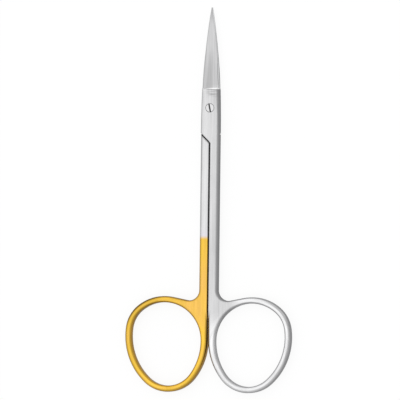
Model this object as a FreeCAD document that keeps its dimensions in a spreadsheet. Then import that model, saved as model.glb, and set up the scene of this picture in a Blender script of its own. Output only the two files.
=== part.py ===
import FreeCAD, Part
import math
import os
import Sketcher

# Fine straight scissors, closed, lying flat: long axis along Y with the tips at +Y, thickness along Z.
# The origin is on the pivot axis, in the plane that the scissors rest on. Lengths in millimetres.
# Each half is drawn in its own frame, its ring on the +X side and its lap plane at z = 0,
# and is then placed: one half as drawn, the other turned over about the long axis.

doc = FreeCAD.newDocument("scissors")
sheet = doc.addObject("Spreadsheet::Sheet", "sizes")

# Driving sizes
SIZES = [
    ("thickness", 3.0),              # closed joint, shanks and rings, from top to bottom
    ("lap_clearance", 0.02),         # between the two joint plates
    ("shank_gap", 0.3),              # between the two shanks
    ("shank_outer", 2.8),            # centre line to the outer side of a shank
    ("lap_outer", 7.4),              # pivot to the plate's slanted end, at its outer corner
    ("lap_inner", 10.3),             # pivot to the same end, at the shank gap
    ("lap_gap", 0.5),                # from that end to the other half's shoulder, along the scissors
    ("shoulder", 6.0),               # pivot to the step from plate to blade
    ("shoulder_narrowing", 0.25),    # how much narrower each side of the plate is there
    ("shoulder_slope", 0.45),        # length of the slope on that step
    ("ring_down", 74.5),             # pivot to the centre of the finger hole's lower round
    ("ring_inset", 1.8),             # that round's outer edge to the plane of the shank's gap side
    ("top_above", 4.9),              # centre of the hole's upper round above that of the lower one
    ("top_inset", 0.2),              # the upper round's outer edge to the plane of the gap side
    ("shoulder_turn", 50.0),         # degrees that the hole's outer upper corner lies above sideways
    ("hole_low_radius", 8.65),
    ("hole_top_radius", 11.35),
    ("hole_shoulder_radius", 8.1),
    ("hole_flank_radius", 17.0),
    ("ring_wall", 1.85),
    ("web_slope", 11.5),             # degrees that the web's upper edge falls towards the shank
    ("crotch_radius", 3.2),
    ("handle_round", 1.0),           # rounding of the ring and shank
    ("plate_round", 0.5),            # rounding of the plate's free side
    ("flat_width", 1.3),             # ground flat side of the shank, which faces the other shank
    ("flat_round", 0.3),
    ("flat_fade", 9.0),              # length over which it fades into the round ring
    ("flat_end_height", 1.0),        # its height where it ends
    ("edge_setback", 0.21),          # cutting edge inside the plate's side, at the shoulder
    ("root_thick", 1.2),
    ("belly_at", 14.0),              # pivot to the second blade section
    ("belly_back", 2.08),            # centre line to the blade's back
    ("belly_edge", 1.83),            # centre line to the cutting edge
    ("belly_thick", 0.98),
    ("taper_at", 22.0),              # third blade section
    ("taper_back", 1.26),
    ("taper_edge", 1.1),
    ("taper_thick", 0.74),
    ("neck_at", 27.0),               # fourth blade section
    ("neck_back", 0.62),
    ("neck_edge", 0.4),
    ("neck_thick", 0.52),
    ("tip_at", 30.0),
    ("tip_back", 0.16),
    ("tip_edge", 0.04),
    ("tip_thick", 0.3),
    ("back_bevel", 0.11),            # width of the bevel along the back, in blade widths
    ("back_land", 0.6),              # height of the square back below it, in blade thicknesses
    ("cutting_bevel", 0.04),         # width of the bevel on the cutting edge, in blade widths
    ("cutting_height", 0.14),        # height of that bevel, in blade thicknesses
    ("screw_diameter", 1.9),
    ("screw_clearance", 0.03),       # round the screw in the near plate
    ("screw_end_chamfer", 0.1),      # on the screw's end, which is flush with the far face
    ("head_diameter", 2.6),
    ("head_clearance", 0.05),        # round the head in its seat
    ("head_seat_depth", 0.6),
    ("head_stand", 0.05),            # of the head above the plate
    ("head_chamfer", 0.1),
    ("slot_width", 0.38),
    ("slot_depth", 0.35),
    ("slot_turn", 12.0),             # degrees between the slot and the long axis
]
for row, (alias, number) in enumerate(SIZES, start=1):
    sheet.set(f"A{row}", alias)
    sheet.set(f"B{row}", str(number))
    sheet.setAlias(f"B{row}", alias)
doc.recompute()

# Places that several features share, as expressions of the sizes
GAP_SIDE = "(sizes.shank_gap / 2)"
LAP_FACE = "(sizes.lap_clearance / 2)"
TOP_FACE = "(sizes.thickness / 2)"
SHOULDER_SIDE = "(sizes.shank_outer - sizes.shoulder_narrowing)"
LOW_RADIUS = "(sizes.hole_low_radius + sizes.ring_wall)"
TOP_RADIUS = "(sizes.hole_top_radius + sizes.ring_wall)"
CORNER_RADIUS = "(sizes.hole_shoulder_radius + sizes.ring_wall)"
FLANK_RADIUS = "(sizes.hole_flank_radius + sizes.ring_wall)"
LOW_ACROSS = f"({GAP_SIDE} + sizes.ring_inset + {LOW_RADIUS})"
TOP_ACROSS = f"({GAP_SIDE} + sizes.top_inset + {TOP_RADIUS})"
TOP_DOWN = "(sizes.ring_down - sizes.top_above)"
CORNER_REACH = "(sizes.hole_top_radius - sizes.hole_shoulder_radius)"
CORNER_ACROSS = f"({TOP_ACROSS} + {CORNER_REACH} * cos(sizes.shoulder_turn))"
CORNER_DOWN = f"({TOP_DOWN} - {CORNER_REACH} * sin(sizes.shoulder_turn))"
FULLEST_ROUND = 0.47  # share of the ring's wall that a rounding may take
HANDLE_ROUND = f"min(sizes.handle_round; sizes.ring_wall * {FULLEST_ROUND})"
HANDLE_CHAMFER = f"({HANDLE_ROUND} * (2 - sqrt(2)))"  # touches the round that it stands for
ACROSS_ALL = "(4 * sizes.shank_outer)"  # twice the joint's width, for cuts that run right across it
# Down the shank gap, the shanks part where the ring's inner side begins to curve away
HEEL_ACROSS = f"({GAP_SIDE} + {FLANK_RADIUS})"
HEEL_REACH = f"({FLANK_RADIUS} - {LOW_RADIUS})"
HEEL_DOWN = f"(sizes.ring_down - sqrt(sizes.ring_inset * (2 * {HEEL_REACH} - sizes.ring_inset)))"


def value(expression):
    """Present value of an expression of sizes."""
    return float(sheet.evalExpression(expression))


def new_sketch(body, name, role="XY_Plane", offset=None):
    """Sketch on one of the body's origin planes, moved along its normal by an expression."""
    sketch = body.newObject("Sketcher::SketchObject", name)
    plane = next(item for item in body.Origin.OriginFeatures if item.Role == role)
    sketch.AttachmentSupport = (plane, [""])
    sketch.MapMode = "FlatFace"
    if offset:
        sketch.setExpression("AttachmentOffset.Base.z", offset)
    return sketch


def constrain(sketch, expression, kind, *places):
    """Dimension that follows an expression of sizes."""
    number = value(expression)
    datum = math.radians(number) if kind == "Angle" else number
    index = sketch.addConstraint(Sketcher.Constraint(kind, *places, datum))
    unit = " * 1 deg" if kind == "Angle" else ""
    sketch.setExpression(f"Constraints[{index}]", expression + unit)


def locate(sketch, geometry, point, across=None, along=None):
    """Tie a point's coordinates to expressions; a leading minus puts it on the negative side."""
    for kind, expression in (("DistanceX", across), ("DistanceY", along)):
        if expression is None:
            continue
        if expression.startswith("-"):
            constrain(sketch, expression[1:], kind, geometry, point, -1, 1)
        else:
            constrain(sketch, expression, kind, -1, 1, geometry, point)


def signed(expression):
    return -value(expression[1:]) if expression.startswith("-") else value(expression)


def polygon(sketch, corners):
    """Closed outline of straight lines through corners given as pairs of expressions."""
    points = [FreeCAD.Vector(signed(across), signed(along)) for across, along in corners]
    count = len(points)
    for start, end in zip(points, points[1:] + points[:1]):
        sketch.addGeometry(Part.LineSegment(start, end))
    for index in range(count):
        sketch.addConstraint(Sketcher.Constraint("Coincident", index, 2, (index + 1) % count, 1))
    for index, (across, along) in enumerate(corners):
        locate(sketch, index, 1, across, along)


def arc(centre, radius, start, end):
    """Arc from a start to an end direction, both in degrees."""
    circle = Part.Circle(centre, FreeCAD.Vector(0, 0, 1), radius)
    return Part.ArcOfCircle(circle, math.radians(start), math.radians(end))


def direction(start, end):
    return math.degrees(math.atan2(end.y - start.y, end.x - start.x))


def flank_centre(low, high, reach_low, reach_high, side):
    """Centre of the long arc that touches two rounds, on one side (1 or -1) of the line between them."""
    axis = high - low
    span = axis.Length
    along = (reach_low ** 2 + span ** 2 - reach_high ** 2) / (2 * span)
    aside = math.sqrt(reach_low ** 2 - along ** 2)
    axis.normalize()
    return low + axis * along + FreeCAD.Vector(-axis.y, axis.x) * (aside * side)


def ring_centres():
    """Centres of the rounds that the finger hole and the ring's outside share: low, corner, top."""
    low = FreeCAD.Vector(value(LOW_ACROSS), -value("sizes.ring_down"))
    corner = FreeCAD.Vector(value(CORNER_ACROSS), -value(CORNER_DOWN))
    top = FreeCAD.Vector(value(TOP_ACROSS), -value(TOP_DOWN))
    return low, corner, top


def extrude(body, kind, sketch, name, length, symmetric=False):
    """Pad or pocket of a sketch, its length an expression of sizes."""
    feature = body.newObject(f"PartDesign::{kind}", name)
    feature.Profile = sketch
    if symmetric:
        feature.SideType = "Symmetric"
    feature.setExpression("Length", length)
    sketch.Visibility = False
    doc.recompute()
    return feature


def draw_handle(sketch):
    """Shank and finger ring in one outline: the gap side, round the ring, the crotch, the outer side."""
    gap = value(GAP_SIDE)
    outer = value("sizes.shank_outer")
    low, corner, top = ring_centres()
    low_radius, top_radius = value(LOW_RADIUS), value(TOP_RADIUS)
    corner_radius, flank_radius = value(CORNER_RADIUS), value(FLANK_RADIUS)
    heel = FreeCAD.Vector(value(HEEL_ACROSS), -value(HEEL_DOWN))
    flank = flank_centre(low, corner, flank_radius - low_radius, flank_radius - corner_radius, 1)
    slope = value("sizes.web_slope")
    upward = FreeCAD.Vector(-math.sin(math.radians(slope)), math.cos(math.radians(slope)))
    web_start = top + upward * top_radius
    crotch_radius = value("sizes.crotch_radius")
    crotch = FreeCAD.Vector(outer + crotch_radius, 0)
    crotch.y = web_start.y + (crotch_radius - (crotch.x - web_start.x) * upward.x) / upward.y
    end = -value("sizes.lap_outer")

    gap_line, heel_arc, low_arc, flank_arc, corner_arc, top_arc, web, crotch_arc, outer_line, end_line = range(10)
    sketch.addGeometry(Part.LineSegment(FreeCAD.Vector(gap, end), FreeCAD.Vector(gap, heel.y)))
    sketch.addGeometry(arc(heel, flank_radius, 180, 360 + direction(heel, low)))
    sketch.addGeometry(arc(low, low_radius, 360 + direction(heel, low), 360 + direction(flank, low)))
    sketch.addGeometry(arc(flank, flank_radius, direction(flank, low), direction(flank, corner)))
    sketch.addGeometry(arc(corner, corner_radius, direction(flank, corner), direction(top, corner)))
    sketch.addGeometry(arc(top, top_radius, direction(top, corner), 90 + slope))
    sketch.addGeometry(Part.LineSegment(crotch - upward * crotch_radius, web_start))
    sketch.addGeometry(arc(crotch, crotch_radius, 180, 270 + slope))
    sketch.addGeometry(Part.LineSegment(FreeCAD.Vector(outer, crotch.y), FreeCAD.Vector(outer, end)))
    sketch.addGeometry(Part.LineSegment(FreeCAD.Vector(outer, end), FreeCAD.Vector(gap, end)))

    for first, first_end, second, second_end in (
        (gap_line, 2, heel_arc, 1), (heel_arc, 2, low_arc, 1), (low_arc, 2, flank_arc, 1),
        (flank_arc, 2, corner_arc, 1), (corner_arc, 2, top_arc, 1), (top_arc, 2, web, 2),
        (web, 1, crotch_arc, 2), (crotch_arc, 1, outer_line, 1),
    ):
        sketch.addConstraint(Sketcher.Constraint("Tangent", first, first_end, second, second_end))
    sketch.addConstraint(Sketcher.Constraint("Coincident", outer_line, 2, end_line, 1))
    sketch.addConstraint(Sketcher.Constraint("Coincident", end_line, 2, gap_line, 1))
    sketch.addConstraint(Sketcher.Constraint("Vertical", gap_line))
    sketch.addConstraint(Sketcher.Constraint("Vertical", outer_line))
    locate(sketch, gap_line, 1, GAP_SIDE, "-sizes.lap_outer")
    locate(sketch, outer_line, 2, "sizes.shank_outer", "-sizes.lap_outer")
    locate(sketch, low_arc, 3, LOW_ACROSS, "-sizes.ring_down")
    locate(sketch, top_arc, 3, TOP_ACROSS, "-" + TOP_DOWN)
    locate(sketch, corner_arc, 3, CORNER_ACROSS)
    for geometry, radius in (
        (heel_arc, FLANK_RADIUS), (low_arc, LOW_RADIUS), (flank_arc, FLANK_RADIUS),
        (corner_arc, CORNER_RADIUS), (top_arc, TOP_RADIUS), (crotch_arc, "sizes.crotch_radius"),
    ):
        constrain(sketch, radius, "Radius", geometry)
    constrain(sketch, "sizes.web_slope", "Angle", web)


def draw_finger_hole(sketch):
    """Rounded oval of five arcs, squarest at its outer upper corner."""
    low, corner, top = ring_centres()
    low_radius, top_radius = value("sizes.hole_low_radius"), value("sizes.hole_top_radius")
    corner_radius, flank_radius = value("sizes.hole_shoulder_radius"), value("sizes.hole_flank_radius")
    outer = flank_centre(low, corner, flank_radius - low_radius, flank_radius - corner_radius, 1)
    inner = flank_centre(low, top, flank_radius - low_radius, flank_radius - top_radius, -1)

    sketch.addGeometry(arc(low, low_radius, direction(inner, low), direction(outer, low)))
    sketch.addGeometry(arc(outer, flank_radius, direction(outer, low), direction(outer, corner)))
    sketch.addGeometry(arc(corner, corner_radius, direction(outer, corner), direction(top, corner)))
    sketch.addGeometry(arc(top, top_radius, direction(top, corner), direction(inner, top)))
    sketch.addGeometry(arc(inner, flank_radius, direction(inner, top), 360 + direction(inner, low)))
    radii = ("low", "flank", "shoulder", "top", "flank")
    for index, radius in enumerate(radii):
        sketch.addConstraint(Sketcher.Constraint("Tangent", index, 2, (index + 1) % len(radii), 1))
    low_arc, corner_arc, top_arc = (radii.index(word) for word in ("low", "shoulder", "top"))
    locate(sketch, low_arc, 3, LOW_ACROSS, "-sizes.ring_down")
    locate(sketch, top_arc, 3, TOP_ACROSS, "-" + TOP_DOWN)
    locate(sketch, corner_arc, 3, CORNER_ACROSS)
    for index, radius in enumerate(radii):
        constrain(sketch, f"sizes.hole_{radius}_radius", "Radius", index)


def draw_plate(sketch):
    """Joint plate: its sides draw in along slow arcs towards the shoulder, its lower end is slanted."""
    outer, gap = value("sizes.shank_outer"), value(GAP_SIDE)
    narrow = value("sizes.shoulder_narrowing")
    shoulder, lap = value("sizes.shoulder"), -value("sizes.lap_outer")
    inner = -value("sizes.lap_inner")
    rise = shoulder - lap
    radius = (narrow ** 2 + rise ** 2) / (2 * narrow)
    turn = math.degrees(math.asin(rise / radius))

    slant, gap_line, hidden, outer_line, outer_arc, step, free_arc = range(7)
    corners = [(-outer, lap), (gap, inner), (gap, 2 * inner), (outer, 2 * inner), (outer, lap)]
    points = [FreeCAD.Vector(across, along) for across, along in corners]
    for start, end in zip(points, points[1:]):
        sketch.addGeometry(Part.LineSegment(start, end))
    sketch.addGeometry(arc(FreeCAD.Vector(outer - radius, lap), radius, 0, turn))
    sketch.addGeometry(Part.LineSegment(FreeCAD.Vector(outer - narrow, shoulder),
                                        FreeCAD.Vector(narrow - outer, shoulder)))
    sketch.addGeometry(arc(FreeCAD.Vector(radius - outer, lap), radius, 180 - turn, 180))
    for first in range(7):
        second = (first + 1) % 7
        sketch.addConstraint(Sketcher.Constraint("Coincident", first, 2, second, 1))
    locate(sketch, slant, 1, "-sizes.shank_outer", "-sizes.lap_outer")
    locate(sketch, gap_line, 1, GAP_SIDE, "-sizes.lap_inner")
    locate(sketch, hidden, 1, GAP_SIDE, "-(2 * sizes.lap_inner)")
    locate(sketch, outer_line, 1, "sizes.shank_outer", "-(2 * sizes.lap_inner)")
    locate(sketch, outer_arc, 1, "sizes.shank_outer", "-sizes.lap_outer")
    locate(sketch, outer_arc, 3, None, "-sizes.lap_outer")
    locate(sketch, step, 1, SHOULDER_SIDE, "sizes.shoulder")
    locate(sketch, free_arc, 1, "-" + SHOULDER_SIDE, "sizes.shoulder")
    locate(sketch, free_arc, 3, None, "-sizes.lap_outer")


def draw_flat_section(sketch, half_height):
    """Section of the shank's flat side, rounded where it faces the other shank."""
    near, far = value(GAP_SIDE), value(f"{GAP_SIDE} + sizes.flat_width")
    radius, top = value("sizes.flat_round"), value(half_height)
    upper, upper_arc, face, lower_arc, lower, buried = range(6)
    point = FreeCAD.Vector
    sketch.addGeometry(Part.LineSegment(point(far, top), point(near + radius, top)))
    sketch.addGeometry(arc(point(near + radius, top - radius), radius, 90, 180))
    sketch.addGeometry(Part.LineSegment(point(near, top - radius), point(near, radius - top)))
    sketch.addGeometry(arc(point(near + radius, radius - top), radius, 180, 270))
    sketch.addGeometry(Part.LineSegment(point(near + radius, -top), point(far, -top)))
    sketch.addGeometry(Part.LineSegment(point(far, -top), point(far, top)))
    for first in (upper, upper_arc, face, lower_arc):
        sketch.addConstraint(Sketcher.Constraint("Tangent", first, 2, first + 1, 1))
    sketch.addConstraint(Sketcher.Constraint("Coincident", lower, 2, buried, 1))
    sketch.addConstraint(Sketcher.Constraint("Coincident", buried, 2, upper, 1))
    constrain(sketch, "sizes.flat_round", "Radius", upper_arc)
    constrain(sketch, "sizes.flat_round", "Radius", lower_arc)
    locate(sketch, upper, 1, f"({GAP_SIDE} + sizes.flat_width)", half_height)
    locate(sketch, buried, 1, f"({GAP_SIDE} + sizes.flat_width)", "-" + half_height)
    sketch.addConstraint(Sketcher.Constraint("Horizontal", upper))
    sketch.addConstraint(Sketcher.Constraint("Horizontal", lower))
    locate(sketch, face, 1, GAP_SIDE)


def draw_blade_section(sketch, back, edge, thick):
    """Wedge with a bevel along its back and a small steep one along the cutting edge."""
    width = f"({back} + {edge})"
    polygon(sketch, [
        ("-" + back, LAP_FACE),
        (edge, LAP_FACE),
        (f"({edge} - sizes.cutting_bevel * {width})", f"(sizes.cutting_height * {thick})"),
        (f"-({back} - sizes.back_bevel * {width})", thick),
        ("-" + back, f"(sizes.back_land * {thick})"),
    ])


def edges_of(feature, wanted):
    """Names of the edges whose middle point meets a test."""
    names = []
    for number, edge in enumerate(feature.Shape.Edges, start=1):
        middle = edge.valueAt((edge.FirstParameter + edge.LastParameter) / 2)
        if wanted(middle):
            names.append(f"Edge{number}")
    return names


def dress_edges(body, kind, base, name, size, wanted):
    """Fillet or chamfer of the wanted edges, and of the edges that run on from them smoothly."""
    feature = body.newObject(f"PartDesign::{kind}", name)
    feature.Base = (base, edges_of(base, wanted))
    feature.setExpression("Radius" if kind == "Fillet" else "Size", size)
    doc.recompute()
    return feature


def loft(body, name, sections, ruled=False):
    feature = body.newObject("PartDesign::AdditiveLoft", name)
    feature.Profile = sections[0]
    feature.Sections = sections[1:]
    feature.Ruled = ruled
    for sketch in sections:
        sketch.Visibility = False
    doc.recompute()
    return feature


def circle(sketch, diameter):
    """Circle on the pivot axis."""
    sketch.addGeometry(Part.Circle(FreeCAD.Vector(0, 0, 0), FreeCAD.Vector(0, 0, 1), value(diameter) / 2))
    sketch.addConstraint(Sketcher.Constraint("Coincident", 0, 3, -1, 1))
    constrain(sketch, diameter, "Diameter", 0)


def add_handle(body):
    """Shank, web and finger ring as one rounded bar of even thickness."""
    outline = new_sketch(body, body.Label + "_handle_outline")
    draw_handle(outline)
    extrude(body, "Pad", outline, body.Label + "_handle", "sizes.thickness", symmetric=True)
    hole = new_sketch(body, body.Label + "_finger_hole_outline", offset=TOP_FACE)
    draw_finger_hole(hole)
    return extrude(body, "Pocket", hole, body.Label + "_finger_hole", "sizes.thickness")


def add_plate(body, shown):
    """Joint plate, half as thick as the shank, with the rounding of all edges and the slope to the blade.

    The handle's edges are round on the side that shows (1 or -1), and chamfered to nearly the same
    form on the side that rests.
    """
    outline = new_sketch(body, body.Label + "_plate_outline", offset=LAP_FACE)
    draw_plate(outline)
    plate = extrude(body, "Pad", outline, body.Label + "_plate", f"{TOP_FACE} - {LAP_FACE}")

    top = value(TOP_FACE)
    ring_bottom = -value("sizes.ring_down + sizes.hole_low_radius / 2")
    free_side = -value(SHOULDER_SIDE)
    handle_round = dress_edges(
        body, "Fillet", plate, body.Label + "_handle_round", HANDLE_ROUND,
        lambda point: abs(point.z - shown * top) < 1e-3 and point.y < ring_bottom)
    handle_chamfer = dress_edges(
        body, "Chamfer", handle_round, body.Label + "_handle_chamfer", HANDLE_CHAMFER,
        lambda point: abs(point.z + shown * top) < 1e-3 and point.y < ring_bottom)
    dress_edges(
        body, "Fillet", handle_chamfer, body.Label + "_plate_round", "sizes.plate_round",
        lambda point: abs(point.z - top) < 1e-3 and point.x < free_side)

    slope = new_sketch(body, body.Label + "_shoulder_slope_profile", role="YZ_Plane")
    polygon(slope, [
        ("(sizes.shoulder - sizes.shoulder_slope)", TOP_FACE),
        ("sizes.shoulder", "sizes.root_thick"),
        ("sizes.shoulder", "sizes.thickness"),
        ("(sizes.shoulder - sizes.shoulder_slope)", "sizes.thickness"),
    ])
    extrude(body, "Pocket", slope, body.Label + "_shoulder_slope", ACROSS_ALL, symmetric=True)


def add_flat_side(body):
    """Square up the shank's side that faces the other shank, and let it fade into the round ring."""
    stations = [
        ("start", "sizes.lap_outer", TOP_FACE),
        ("full", f"({HEEL_DOWN} - sizes.flat_fade)", TOP_FACE),
        ("end", HEEL_DOWN, "(sizes.flat_end_height / 2)"),
    ]
    sections = []
    for name, down, half_height in stations:
        sketch = new_sketch(body, f"{body.Label}_flat_{name}", role="XZ_Plane", offset=down)
        draw_flat_section(sketch, half_height)
        sections.append(sketch)
    doc.recompute()
    loft(body, body.Label + "_flat_side", sections, ruled=True)


def add_blade(body):
    """Blade, from the shoulder to the tip."""
    stations = [
        ("root", "sizes.shoulder", SHOULDER_SIDE, f"({SHOULDER_SIDE} - sizes.edge_setback)", "sizes.root_thick"),
    ]
    for name in ("belly", "taper", "neck", "tip"):
        stations.append((name, *(f"sizes.{name}_{part}" for part in ("at", "back", "edge", "thick"))))
    sections = []
    for name, along, back, edge, thick in stations:
        sketch = new_sketch(body, f"{body.Label}_blade_{name}", role="XZ_Plane", offset=f"-{along}")
        draw_blade_section(sketch, back, edge, thick)
        sections.append(sketch)
    doc.recompute()
    loft(body, body.Label + "_blade", sections)


def cut_lap(body):
    """Cut away the side of the lap where the other half's plate lies, up to a slanted shoulder."""
    sketch = new_sketch(body, body.Label + "_lap_outline", offset=LAP_FACE)
    wide = f"({ACROSS_ALL} / 2)"
    outer_end = "-(sizes.lap_outer + sizes.lap_gap)"
    inner_end = "-(sizes.lap_inner + sizes.lap_gap)"
    polygon(sketch, [
        ("sizes.shank_outer", outer_end),
        (wide, outer_end),
        (wide, LAP_FACE),
        ("-" + wide, LAP_FACE),
        ("-" + wide, inner_end),
        ("-" + GAP_SIDE, inner_end),
    ])
    extrude(body, "Pocket", sketch, body.Label + "_lap", "sizes.thickness")


def bore(body, name, diameter, top, depth):
    """Round hole on the pivot axis, from a height downwards."""
    sketch = new_sketch(body, f"{body.Label}_{name}_outline", offset=top)
    circle(sketch, diameter)
    extrude(body, "Pocket", sketch, f"{body.Label}_{name}", depth)


def make_half(label, shown):
    """One half of the scissors, forged in one piece: ring, shank, joint plate and blade."""
    body = doc.addObject("PartDesign::Body", label)
    body.Label = label
    add_handle(body)
    add_plate(body, shown)
    add_flat_side(body)
    add_blade(body)
    cut_lap(body)
    return body


def make_screw(label):
    """Slotted screw with a flat seat under its head; a fine thread is left off."""
    body = doc.addObject("PartDesign::Body", label)
    body.Label = label
    profile = new_sketch(body, label + "_profile", role="XZ_Plane")
    axis, end = "0", "0"
    shank, head = "(sizes.screw_diameter / 2)", "(sizes.head_diameter / 2)"
    seat = "(sizes.thickness - sizes.head_seat_depth)"
    head_top = "(sizes.thickness + sizes.head_stand)"
    polygon(profile, [
        (axis, end),
        (f"({shank} - sizes.screw_end_chamfer)", end),
        (shank, "sizes.screw_end_chamfer"),
        (shank, seat),
        (head, seat),
        (head, f"({head_top} - sizes.head_chamfer)"),
        (f"({head} - sizes.head_chamfer)", head_top),
        (axis, head_top),
    ])
    turned = body.newObject("PartDesign::Revolution", label + "_turned")
    turned.Profile = profile
    turned.ReferenceAxis = (profile, ["V_Axis"])
    turned.Angle = 360
    profile.Visibility = False
    doc.recompute()

    slot = new_sketch(body, label + "_slot_outline", offset=head_top)
    half_long, half_wide = "sizes.head_diameter", "(sizes.slot_width / 2)"
    polygon(slot, [
        ("-" + half_wide, "-" + half_long),
        (half_wide, "-" + half_long),
        (half_wide, half_long),
        ("-" + half_wide, half_long),
    ])
    slot.setExpression("AttachmentOffset.Rotation.Angle", "sizes.slot_turn * 1 deg")
    extrude(body, "Pocket", slot, label + "_slot", "sizes.slot_depth")
    return body


near_half = make_half("steel_ring_half", shown=1)
bore(near_half, "screw_hole", "(sizes.screw_diameter + 2 * sizes.screw_clearance)", TOP_FACE, "sizes.thickness")
bore(near_half, "head_seat", "(sizes.head_diameter + 2 * sizes.head_clearance)", TOP_FACE, "sizes.head_seat_depth")
near_half.setExpression("Placement.Base.z", TOP_FACE)

far_half = make_half("gold_ring_half", shown=-1)
bore(far_half, "threaded_hole", "sizes.screw_diameter", TOP_FACE, "sizes.thickness")
far_half.Placement.Rotation = FreeCAD.Rotation(FreeCAD.Vector(0, 1, 0), 180)
far_half.setExpression("Placement.Base.z", TOP_FACE)

screw = make_screw("pivot_screw")
doc.recompute()

for item in doc.Objects:
    if "Invalid" in item.State or "Error" in item.State:
        raise RuntimeError(f"{item.Name} did not build: {item.State}")
os.makedirs("parts", exist_ok=True)
for node in (near_half, far_half, screw):
    shape = node.Shape
    if shape.isNull() or not shape.isValid() or len(shape.Solids) != 1:
        raise RuntimeError(f"{node.Label} is not one valid solid")
    shape.exportStep(f"parts/{node.Label}.step")
    print(node.Label, "volume", round(shape.Volume, 3), "box", shape.BoundBox)
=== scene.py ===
import math

import bpy
from mathutils import Matrix, Vector

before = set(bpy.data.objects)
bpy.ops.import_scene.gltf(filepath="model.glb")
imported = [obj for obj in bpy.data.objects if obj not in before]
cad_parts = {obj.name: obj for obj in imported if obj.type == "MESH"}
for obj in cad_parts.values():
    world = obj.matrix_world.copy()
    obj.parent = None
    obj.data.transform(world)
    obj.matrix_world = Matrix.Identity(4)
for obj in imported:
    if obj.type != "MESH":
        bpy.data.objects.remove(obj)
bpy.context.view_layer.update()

MM = 0.001


# Steel half: blade, joint plate, shank and finger ring, forged in one piece of stainless steel.
# Its faces are brushed lengthwise to a satin. Its edges and walls take a darker colour as painted
# shade, and the step at the blade's root takes a painted highlight.

FACTOR, FIRST, SECOND, MIXED = 0, 6, 7, 2  # a Mix node's sockets for colours


class Wire:
    """An output in a material. Arithmetic on it adds Math nodes, and add() makes any other node."""

    def __init__(self, tree, socket=None):
        self.tree = tree
        self.socket = socket

    def add(self, kind, settings=None, inputs=None, output=0):
        """New node: its settings first, then the numbers or wires of its sockets."""
        node = self.tree.nodes.new("ShaderNode" + kind)
        for name, setting in (settings or {}).items():
            setattr(node, name, setting)
        for name, item in (inputs or {}).items():
            if isinstance(item, Wire):
                self.tree.links.new(item.socket, node.inputs[name])
            else:
                node.inputs[name].default_value = item
        return Wire(self.tree, node.outputs[output])

    def maths(self, operation, *others):
        """Math node on this value and the others, in that order."""
        return self.add("Math", {"operation": operation}, dict(enumerate((self, *others))))

    def __add__(self, other):
        return self.maths("ADD", other)

    __radd__ = __add__

    def __mul__(self, other):
        return self.maths("MULTIPLY", other)

    __rmul__ = __mul__

    def __sub__(self, other):
        return self.maths("SUBTRACT", other)

    def __rsub__(self, other):
        return self.add("Math", {"operation": "SUBTRACT"}, {0: other, 1: self})

    def __gt__(self, other):
        return self.maths("GREATER_THAN", other)

    def __lt__(self, other):
        return self.maths("LESS_THAN", other)

    def __abs__(self):
        return self.maths("ABSOLUTE")

    def between(self, none, full):
        """Goes smoothly from 0 where this value is none to 1 where it is full, up or down."""
        return self.add("MapRange", {"interpolation_type": "SMOOTHSTEP"},
                        {"Value": self, "From Min": none, "From Max": full})

    def blend(self, first, second):
        """Colour that goes from the first to the second as this value goes from 0 to 1."""
        return self.add("Mix", {"data_type": "RGBA"},
                        {FACTOR: self, FIRST: first, SECOND: second}, output=MIXED)

    def times(self, colour):
        """This value as a grey that tints a colour."""
        return self.add("Mix", {"data_type": "RGBA", "blend_type": "MULTIPLY"},
                        {FACTOR: 1.0, FIRST: colour, SECOND: self}, output=MIXED)

    def xyz(self):
        """The three parts of this vector."""
        return (self.add("SeparateXYZ", inputs={"Vector": self}, output=part) for part in "XYZ")


def new_material(name):
    """Material with a bare shader: returns it, a Wire to make nodes from, and the shader."""
    material = bpy.data.materials.new(name)
    material.use_nodes = True
    shader = material.node_tree.nodes["Principled BSDF"]
    return material, Wire(material.node_tree), shader


def feed(wire, shader, **sockets):
    """Numbers and colours are set on the shader's own sockets, and wires are linked to them."""
    for name, item in sockets.items():
        socket = shader.inputs[name.replace("_", " ")]
        if isinstance(item, Wire):
            wire.tree.links.new(item.socket, socket)
        else:
            socket.default_value = item


# Places are measured from the pivot: along to the tips, and across to the right. A pair of places
# is where an effect is none and where it is full.
BLADE_FROM = 5.8 * MM                     # along, where the blade leaves the joint plate
RINGS_BELOW = (-60 * MM, -68 * MM)        # along, where the shanks turn into the polished rings
RINGS_BESIDE = (6 * MM, 10 * MM)          # across, where each ring turns away from its shank
RING_CENTRE = (12.6 * MM, -73 * MM)       # across and along
RING_RADIUS = 12 * MM
RING_SLOPE = 0.14                         # the rings' faces fall away a little to the outside
CORNER_AHEAD = (5 * MM, 12 * MM)          # from the ring's centre to its upper outer corner, which takes painted shade
CORNER_ASIDE = (0, 5 * MM)
CROWN_RADIUS = 50 * MM                    # each face is ground slightly full, or hollow on a blade
CROWN_HALF_WIDTH = 3 * MM
STREAK_DETAIL = 3.0
WAVE = (10 * MM, 4 * MM, 1.0)             # along and across the ring, and the noise's detail

# The way that a surface looks, as parts of its normal. Outward is from the ring's centre.
INWARD = (0.25, -0.2)
OUTWARD = (-0.1, 0.3)
TIPWARD = (0.1, 0.6)
NOT_RINGWARD = (-0.9, 0.1)                # any way along but straight to the ring end
NOT_RIGHTWARD = (0.6, 0.1)

# How level a surface lies, from 0 for a wall to 1 for a face. Up to the first value it takes the
# painted shade of a wall, and from the second one the face's colour. The pairs after it move both
# values on some parts, and so move where the painted shade lies.
WALL_SHADE_TO, FACE_FROM = 0.55, 1.0
ON_BLADE = (-0.2, -0.25)
INSIDE_RING = (-0.3, -0.1)
INSIDE_TURNED_AWAY = (0.45, 0.1)
OUTSIDE_TIPWARD = -0.6                    # first value only, times how far it looks to the right; it moves the painted shade
ROUNDED = (1.0, 0.9)


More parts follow.
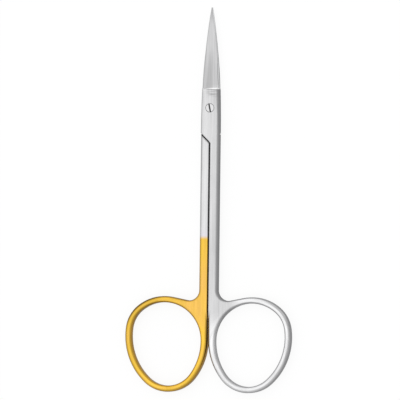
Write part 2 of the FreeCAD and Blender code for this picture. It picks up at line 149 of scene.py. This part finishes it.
class Surface(Wire):
    """What the finishes share: places, the way a surface lies, where shade and light are painted, and
    the grain of the belt.
    """

    def __init__(self, tree):
        super().__init__(tree)
        self.place = self.add("TexCoord", output="Object")
        self.across, self.along, self.height = self.place.xyz()
        sideways, endways, upward = self.add("TexCoord", output="Normal").xyz()
        level = abs(upward)
        self.side = (upward > 0) * 2 - 1  # 1 where it looks up and -1 where it looks down
        self.rounded = level.between(*ROUNDED)
        self.blade = self.along > BLADE_FROM
        out = abs(self.across)
        self.ring = self.along.between(*RINGS_BELOW).maths("MAXIMUM", out.between(*RINGS_BESIDE))

        aside = out - RING_CENTRE[0]
        ahead = self.along - RING_CENTRE[1]
        self.reach = (aside * aside + ahead * ahead).maths("SQRT")
        turn = aside.maths("ARCTAN2", ahead)
        self.round = self.add("CombineXYZ", inputs={
            "X": self.reach, "Y": turn * RING_RADIUS, "Z": self.height})
        self.shaded_corner = self.ring * ahead.between(*CORNER_AHEAD) * aside.between(*CORNER_ASIDE)

        away_from_shank = sideways * self.across.maths("SIGN")
        outward = (away_from_shank * aside + endways * ahead).maths("DIVIDE", self.reach)
        self.inner = self.ring * outward.between(*INWARD)
        # painted light on the rings' inner walls, as the white table reflects in them, but not where
        # they look straight to the ring's end
        self.painted_wall_light = self.inner * endways.between(*NOT_RINGWARD)
        # more painted shade on the rings' inner walls that don't look to the right, and on their
        # outer slopes that look up and to the left; less on those that look to the right
        shaded_inside = self.inner * sideways.between(*NOT_RIGHTWARD)
        shaded_outside = self.ring * outward.between(*OUTWARD) * endways.between(*TIPWARD)
        # where the painted shade of the walls gives way to the faces' colour
        wall_shade_to, face_from = (
            start + self.blade * blade + self.inner * inner + shaded_inside * away
            for start, blade, inner, away in zip(
                (WALL_SHADE_TO, FACE_FROM), ON_BLADE, INSIDE_RING, INSIDE_TURNED_AWAY))
        wall_shade_to = wall_shade_to + shaded_outside * sideways * OUTSIDE_TIPWARD
        self.flat = level.between(wall_shade_to, face_from)

    def grain(self, place, along, across, detail):
        """Noise in patches so long and so wide, in metres."""
        scale = (1 / across, 1 / along, 1 / across)
        stretched = self.add("Mapping", inputs={"Vector": place, "Scale": scale})
        return self.add("TexNoise", inputs={"Vector": stretched, "Scale": 1.0, "Detail": detail})

    def streaks(self, along, across):
        """Grain drawn out along the shank and round the ring."""
        straight = self.grain(self.place, along, across, STREAK_DETAIL)
        curved = self.grain(self.round, along, across, STREAK_DETAIL)
        return straight + self.ring * (curved - straight)

    def waves(self):
        """Slow changes along the ring, from -0.5 to 0.5, where it was polished by hand."""
        return self.ring * (self.grain(self.round, *WAVE) - 0.5)

    def band(self, start, end, soft):
        """1 on a band across the scissors, between two places along it."""
        return (self.along.between(start - soft, start + soft)
                * self.along.between(end + soft, end - soft))

    def relief(self, marks):
        """Bump of the brushing marks, on faces that are slightly crowned or hollow."""
        across = self.across.maths("MAXIMUM", -CROWN_HALF_WIDTH).maths("MINIMUM", CROWN_HALF_WIDTH)
        bow = across * across * (self.blade * 2 - 1) * (0.5 / CROWN_RADIUS)
        slope = self.ring * (self.reach - RING_RADIUS) * RING_SLOPE
        return self.add("Bump", inputs={
            "Strength": 1.0, "Distance": 1.0, "Height": bow - slope + marks})


STEEL_FACE = (0.57, 0.57, 0.575, 1)
# painted shade: the colour of walls and edges, darker than the faces
STEEL_WALL_SHADE = (0.27, 0.27, 0.275, 1)
# painted light: the colour of lit walls
PAINTED_LIT_WALL = (0.45, 0.45, 0.455, 1)
# painted highlight on the step at the blade's root
STEP_HIGHLIGHT = (0.82, 0.82, 0.825, 1)
EDGE_TINT = (0.55, 0.55, 0.55, 1)         # what the metal reflects at a low angle

BLADE_LENGTH = (6 * MM, 30 * MM)          # along, the painted light on the blade grows from root to tip
# painted shade over the whole blade, and painted light towards its tip
BLADE_SHADE, TIP_PAINTED_LIGHT = 0.17, 0.22
BLADE_ROOT = (21 * MM, 13 * MM)           # along, the painted shade of the hollow and the painted light of the strip show at the root
BLADE_MIDDLE = -0.6 * MM                  # across, where the painted shade of the hollow is darkest
HOLLOW_HALF_WIDTH = 2.2 * MM
# painted shade in the hollow
HOLLOW_SHADE = 0.12
BLADE_BACK = -2.85 * MM                   # across, where the line of the back passes the pivot
BLADE_BACK_LEAN = 0.09
BACK_STRIP = (1.3 * MM, 0.5 * MM)         # from that line
# painted light along the strip by the blade's back
BACK_PAINTED_LIGHT = 0.1


def painted_blade_shading(surface):
    """Painted shade and light on the blade: darkest in the hollow at its root, lighter along its back
    and to its tip.
    """
    root = surface.along.between(*BLADE_ROOT)
    hollow = abs(surface.across - BLADE_MIDDLE).between(HOLLOW_HALF_WIDTH, 0)
    from_back = surface.across - surface.along * BLADE_BACK_LEAN - BLADE_BACK
    strip = from_back.between(*BACK_STRIP)
    tipward = surface.along.between(*BLADE_LENGTH)
    return surface.blade * (tipward * TIP_PAINTED_LIGHT - BLADE_SHADE
                            + root * (strip * BACK_PAINTED_LIGHT - hollow * HOLLOW_SHADE))


SHANK_WIDTH = (-2.5 * MM, 3 * MM)         # across, painted shade: shank and plate darken to the right
SHANK_LIGHT, SHANK_SHADE = 0.05, 0.13
PLATE_RIGHT = (0, 2.4 * MM)               # across, more painted shade on the plate near its shoulder
NEAR_SHOULDER = (-3 * MM, 5 * MM)
PLATE_SHADE = 0.12
LEFT_EDGE = -2.5 * MM                     # across, where the plate's left edge passes the pivot
LEFT_EDGE_LEAN = 0.0245
LEFT_EDGE_SHADE = (0.8 * MM, 0.25 * MM)       # from that edge, which takes a painted shade
LEFT_EDGE_SHADE_ALONG = (-36 * MM, 5.4 * MM, 1 * MM)
# painted shade along the left edge
LEFT_EDGE_SHADE_DARK = 0.16


def painted_shank_shade(surface):
    """Painted shade: plate and shank are darker to the right, and along the plate's left edge."""
    to_right = surface.across.between(*SHANK_WIDTH) * SHANK_SHADE
    plate_right = surface.across.between(*PLATE_RIGHT) * surface.along.between(*NEAR_SHOULDER)
    fall = SHANK_LIGHT - to_right - plate_right * PLATE_SHADE
    from_edge = surface.across - surface.along * LEFT_EDGE_LEAN - LEFT_EDGE
    left_edge_shade = from_edge.between(*LEFT_EDGE_SHADE) * surface.band(*LEFT_EDGE_SHADE_ALONG)
    return (1 - surface.blade - surface.ring) * surface.flat * fall - left_edge_shade * LEFT_EDGE_SHADE_DARK


STEP = (5.58 * MM, 6.03 * MM, 0.03 * MM)  # along, the painted highlight: from, to and how softly
STEP_FADE = (-2 * MM, 1.9 * MM)           # across, the painted highlight brightens to the right
STEP_GLOW = (7.2 * MM, STEP[1])             # along, where the painted glow above the step fades out on the blade
STEP_GLOW_LIGHT = 0.14
# painted shade in the crease below the step
CREASE = (5.36 * MM, 5.56 * MM, 0.04 * MM)
CREASE_FADE = (-1.6 * MM, -0.4 * MM)
CREASE_SHADE = 0.5
CROSS_MARKED = (3.4 * MM, 5.2 * MM, 0.3 * MM)
CROSS_MARK = (0.25 * MM, 3.33 * MM, 2.0)  # one mark along and across, and the noise's detail
CROSS_FADE = (-2 * MM, 0.5 * MM)
CROSS_CONTRAST = (0.4, 0.6)
CROSS_DARK = 0.32


def with_shoulder(surface, colour):
    """Adds the painted highlight on the step, a painted glow above it on the blade, painted shade in
    the crease, and faint cross marks below it."""
    right_part = surface.across.between(*STEP_FADE)
    step_glow = surface.blade * surface.along.between(*STEP_GLOW) * right_part
    crease = surface.band(*CREASE) * surface.across.between(*CREASE_FADE)
    marks = surface.grain(surface.place, *CROSS_MARK).between(*CROSS_CONTRAST)
    marked = surface.band(*CROSS_MARKED) * surface.across.between(*CROSS_FADE)
    shade = ((1 - surface.flat * marked * marks * CROSS_DARK)
             * (1 - surface.flat * crease * CREASE_SHADE) * (1 + step_glow * STEP_GLOW_LIGHT))
    step = surface.band(*STEP) * right_part
    return step.blend(shade.times(colour), STEP_HIGHLIGHT)


LAP_FACE = (1.4 * MM, 1.56 * MM)          # heights that hold both lap faces
LAP_FOOT = -10.92 * MM                    # along, where the lap's slanting foot meets the middle
LAP_FOOT_HALF_WIDTH = 0.5 * MM
# painted shade in the lap's foot
LAP_FOOT_SHADE = 0.85
LAP_GAP = -10.48 * MM                     # along, where the gap above that foot meets it
LAP_GAP_HALF_WIDTH = 0.55 * MM
# painted shade beside the gap
LAP_GAP_SHADE = 0.4


def with_lap_shade(surface, colour):
    """Adds painted shade along the lap's slanting foot and beside the gap above it."""
    slant = surface.along + surface.across * surface.side
    on_lap = (surface.height > LAP_FACE[0]) * (surface.height < LAP_FACE[1])
    foot = abs(slant - LAP_FOOT) < LAP_FOOT_HALF_WIDTH
    gap = (abs(slant - LAP_GAP) < LAP_GAP_HALF_WIDTH) * (surface.across * surface.side < 0)
    lap_shade = on_lap * foot * LAP_FOOT_SHADE + (1 - on_lap) * gap * LAP_GAP_SHADE
    return (1 - surface.flat * lap_shade).times(colour)


FINE_STREAK = (16 * MM, 0.22 * MM)        # along and across
BROAD_STREAK = (26 * MM, 0.8 * MM)
CLOUD = (5 * MM, 2.5 * MM)
GRAIN_BASE = 0.57
FINE_DEPTH, BROAD_DEPTH, CLOUD_DEPTH = 0.4, 0.3, 0.16
MARK_DEPTH = 0.0015 * MM
# the rings' colour is lightened as a painted highlight; the waves vary it at random
RING_HIGHLIGHT, WAVE_LIGHT = 0.2, 0.3
LEFT_WALLS = -2.2 * MM                    # across, walls beyond it take painted light all over
RING_WALL_LIGHT = 0.4
SATIN, RING_SMOOTHER = 0.24, 0.12         # roughness of the shanks, and how much less on a ring
FINE_ROUGH, CLOUD_ROUGH = 0.08, 0.1


def brushed_steel(surface):
    """Colour, roughness and relief of the brushed faces, with the painted shade and light on faces
    and walls.
    """
    fine, broad, clouds = (surface.streaks(*size) for size in (FINE_STREAK, BROAD_STREAK, CLOUD))
    grain = GRAIN_BASE + fine * FINE_DEPTH + broad * BROAD_DEPTH + clouds * CLOUD_DEPTH
    light = (1 + surface.ring * RING_HIGHLIGHT + surface.waves() * WAVE_LIGHT
             + painted_blade_shading(surface) + painted_shank_shade(surface))
    # painted light on the left walls and on the rings' inner walls
    painted_wall_light = (surface.across < LEFT_WALLS) * (1 - surface.ring) + surface.painted_wall_light * RING_WALL_LIGHT
    edge = painted_wall_light.blend(STEEL_WALL_SHADE, PAINTED_LIT_WALL)
    # walls and edges take the painted shade, faces the brushed colour
    colour = (grain * light).times(surface.flat.blend(edge, STEEL_FACE))
    # the step's painted highlight and the lap's painted shade
    colour = with_lap_shade(surface, with_shoulder(surface, colour))
    roughness = SATIN + fine * FINE_ROUGH + clouds * CLOUD_ROUGH - surface.ring * RING_SMOOTHER
    return colour, roughness, surface.relief((fine + broad) * MARK_DEPTH)


def dress(node, material):
    """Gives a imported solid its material."""
    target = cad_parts[node]
    target.data.materials.clear()
    target.data.materials.append(material)


def feed_metal(wire, shader, colour, roughness, relief):
    feed(wire, shader, Base_Color=colour, Metallic=1.0, Roughness=roughness, Normal=relief,
         Specular_Tint=EDGE_TINT)


def satin_steel(name):
    material, wire, shader = new_material(name)
    feed_metal(wire, shader, *brushed_steel(Surface(wire.tree)))
    return material


dress("steel_ring_half", satin_steel("satin_steel"))


# Gold half: the same forging turned over. Its ring and lower shank are plated with gold, up to a
# straight line across the shank where the plating bath ended. A faint haze lies above that line.

GOLD_YELLOW = (0.73, 0.46, 0.058, 1)
GOLD_ORANGE = (0.74, 0.445, 0.1, 1)
# painted shade: the colour of the gold's walls and edges
GOLD_WALL_SHADE = (0.33, 0.18, 0.025, 1)
# painted light: the colour of the gold ring's lit inner walls
GOLD_LIT_WALL = (0.43, 0.24, 0.03, 1)
HAZE = (0.62, 0.58, 0.66, 1)
PLATING_LINE = -38.7 * MM                 # along
PLATING_SOFT = 0.7 * MM
HAZE_FROM = -35.3 * MM
HAZE_SHARE = 0.6
TINT_PATCH = (6 * MM, 1.2 * MM)           # the plating's colour changes a little in patches
TINT_CONTRAST = (0.35, 0.65)
TINT_SHARE = 0.4
ORANGE_WEB = (-42 * MM, -50 * MM)         # along, and it is more orange on the web
WEB_SHARE = 0.6
GOLD_STREAK = (9 * MM, 0.5 * MM)
GOLD_BASE, GOLD_DEPTH = 0.8, 0.4
CORNER_FACE_SHADE, CORNER_ROUND_SHADE = 0.1, 0.38  # painted shade round the ring's upper outer corner
CORNER_INSIDE_LESS = 0.2


def gold_plated(name):
    material, wire, shader = new_material(name)
    surface = Surface(wire.tree)
    steel, roughness, relief = brushed_steel(surface)
    haze = surface.along.between(HAZE_FROM, PLATING_LINE) * surface.flat * HAZE_SHARE
    orange = (surface.streaks(*TINT_PATCH).between(*TINT_CONTRAST) * TINT_SHARE
              + surface.along.between(*ORANGE_WEB) * (1 - surface.ring) * WEB_SHARE)
    edge = surface.painted_wall_light.blend(GOLD_WALL_SHADE, GOLD_LIT_WALL)
    gold = surface.flat.blend(edge, orange.blend(GOLD_YELLOW, GOLD_ORANGE))
    # painted shade on the gold ring's upper outer corner, most on its rounds
    rounded = surface.rounded * (CORNER_ROUND_SHADE - surface.inner * CORNER_INSIDE_LESS)
    light = (1 - surface.shaded_corner * (rounded + CORNER_FACE_SHADE)) * (1 + surface.waves() * WAVE_LIGHT)
    grain = GOLD_BASE + surface.streaks(*GOLD_STREAK) * GOLD_DEPTH
    plated = surface.along.between(PLATING_LINE + PLATING_SOFT, PLATING_LINE - PLATING_SOFT)
    colour = plated.blend(haze.blend(steel, HAZE), (grain * light).times(gold))
    feed_metal(wire, shader, colour, roughness, relief)
    return material


dress("gold_ring_half", gold_plated("gold_plated_steel"))


# Pivot screw: turned from bright steel, with a slotted head let into the upper joint plate.
# The slot and the groove round the head, and a strip beside the slot, take a painted shade.

SCREW_FACE = (0.6, 0.6, 0.605, 1)
# painted shade: the dark of the slot and the groove
SLOT_SHADE = (0.03, 0.03, 0.03, 1)
TURNING_MARK = 0.6 * MM
TURNED_BASE, TURNED_DEPTH = 0.88, 0.24
TURNED_ROUGHNESS, MARK_ROUGHNESS = 0.2, 0.1
HEAD_FROM = 2.45 * MM                     # height, the painted shade lies only above it, on the head
SLOT_BELOW = 2.98 * MM                    # height, under the flat top of the head
SLOT_TURN = math.radians(12)
SLOT_RIM = 0.26 * MM
SLOT_SHADE_SHIFT = 0.1 * MM                     # the painted shade beside the slot lies more on its left
RIM_SHARE = 0.45


def screw_steel(name):
    material, wire, shader = new_material(name)
    surface = Surface(wire.tree)
    turned = surface.streaks(TURNING_MARK, TURNING_MARK)
    grain = TURNED_BASE + turned * TURNED_DEPTH
    # the screw's walls take the painted shade too
    bright = grain.times(surface.flat.blend(STEEL_WALL_SHADE, SCREW_FACE))
    # painted shade in the slot, in the groove round the head and beside the slot
    off_slot = surface.across * math.cos(SLOT_TURN) + surface.along * math.sin(SLOT_TURN)
    from_slot = off_slot + SLOT_SHADE_SHIFT
    beside_slot = (abs(from_slot) < SLOT_RIM) * RIM_SHARE
    painted_shade = beside_slot.maths("MAXIMUM", surface.height < SLOT_BELOW) * (surface.height > HEAD_FROM)
    feed(wire, shader, Base_Color=painted_shade.blend(bright, SLOT_SHADE), Metallic=1.0,
         Roughness=TURNED_ROUGHNESS + turned * MARK_ROUGHNESS)
    return material


dress("pivot_screw", screw_steel("screw_steel"))


# Camera: above the joint, leaning 16 degrees to the right of straight down, with a long lens.
# The frame is 400 pixels wide; the pivot and the scale are where the photograph has them.

PIXEL = 0.2987 * MM                       # of the photograph, on the scissors
PIVOT_PIXEL = (211.2, 107.9)
FRAME_PIXELS = 400
PIVOT = Vector((0, 0, 1.5 * MM))
LEAN = math.radians(16)
ROLL = 0.012
SENSOR_WIDTH = 36
LENS_TO_SENSOR = 25
CLIP_START = 0.01


def place_camera():
    flat_right = Vector((math.cos(LEAN), 0, -math.sin(LEAN)))
    flat_up = Vector((0, 1, 0))
    back = Vector((math.sin(LEAN), 0, math.cos(LEAN)))
    right = flat_right * math.cos(ROLL) + flat_up * math.sin(ROLL)
    up = flat_up * math.cos(ROLL) - flat_right * math.sin(ROLL)
    middle = FRAME_PIXELS / 2
    aim = PIVOT + (middle - PIVOT_PIXEL[0]) * PIXEL * right - (middle - PIVOT_PIXEL[1]) * PIXEL * up
    distance = FRAME_PIXELS * PIXEL * LENS_TO_SENSOR
    camera = bpy.data.objects.new("camera", bpy.data.cameras.new("camera"))
    bpy.context.scene.collection.objects.link(camera)
    camera.data.sensor_width = SENSOR_WIDTH
    camera.data.lens = SENSOR_WIDTH * LENS_TO_SENSOR
    camera.data.clip_start = CLIP_START
    turned = Matrix((right, up, back)).transposed().to_4x4()
    camera.matrix_world = Matrix.Translation(aim + back * distance) @ turned
    bpy.context.scene.camera = camera


place_camera()


# Table and light: a white table top under a large soft overhead light, a little to the left, with
# a white card beyond the tips and dimmer sides over a white horizon.

TABLE_WHITE = (0.97, 0.97, 0.97, 1)
TABLE_HALF_SIDE = 6.0
TABLE_GLOW = 0.88                         # share of plain white in its look; the rest takes shadow


def lay_table():
    mesh = bpy.data.meshes.new("table_top")
    signs = ((-1, -1), (1, -1), (1, 1), (-1, 1))
    corners = [(x * TABLE_HALF_SIDE, y * TABLE_HALF_SIDE, 0) for x, y in signs]
    mesh.from_pydata(corners, [], [(0, 1, 2, 3)])
    table = bpy.data.objects.new("table_top", mesh)
    bpy.context.scene.collection.objects.link(table)
    material, wire, shader = new_material("white_table")
    feed(wire, shader, Base_Color=TABLE_WHITE, Roughness=0.9, Specular_IOR_Level=0.0)
    seen = wire.add("LightPath", output="Is Camera Ray")
    for way in ("Is Glossy Ray", "Is Transmission Ray"):
        seen = seen.maths("MAXIMUM", wire.add("LightPath", output=way))
    glow = wire.add("Emission", inputs={"Color": (1, 1, 1, 1), "Strength": 1.0})
    lit = Wire(wire.tree, shader.outputs[0])
    surface = wire.add("MixShader", inputs={0: seen * TABLE_GLOW, 1: lit, 2: glow})
    wire.tree.links.new(surface.socket, wire.tree.nodes["Material Output"].inputs["Surface"])
    mesh.materials.append(material)


lay_table()

LIGHT_FROM = Vector((-0.26, 0.05, 1)).normalized()
LIGHT_LEVEL = 1.34
LIGHT_SPREAD = (0.45, 1.0)                # how squarely a direction faces the light
SIDE_LEVEL = 0.8
CARD_FROM = Vector((-0.27, 0.88, 0.38)).normalized()
CARD_LEVEL = 0.5
CARD_SPREAD = (0.86, 0.96)
HORIZON_LEVEL = 1.0
HORIZON = (0.07, 0.03)                    # height of a direction, where the sides turn white


def light_room():
    world = bpy.data.worlds.new("soft_light")
    bpy.context.scene.world = world
    world.use_nodes = True
    sky = Wire(world.node_tree)
    direction = sky.add("TexCoord", output="Generated")
    height = sky.add("SeparateXYZ", inputs={"Vector": direction}, output="Z")
    towards, card = (
        sky.add("VectorMath", {"operation": "DOT_PRODUCT"}, {0: direction, 1: middle}, output="Value")
        for middle in (LIGHT_FROM, CARD_FROM))
    level = (SIDE_LEVEL + towards.between(*LIGHT_SPREAD) * (LIGHT_LEVEL - SIDE_LEVEL)
             + card.between(*CARD_SPREAD) * CARD_LEVEL)
    level = level + height.between(*HORIZON) * (HORIZON_LEVEL - level)
    background = world.node_tree.nodes["Background"]
    background.inputs["Color"].default_value = (1, 1, 1, 1)
    world.node_tree.links.new(level.socket, background.inputs["Strength"])


light_room()

bpy.context.scene.view_settings.view_transform = "Standard"
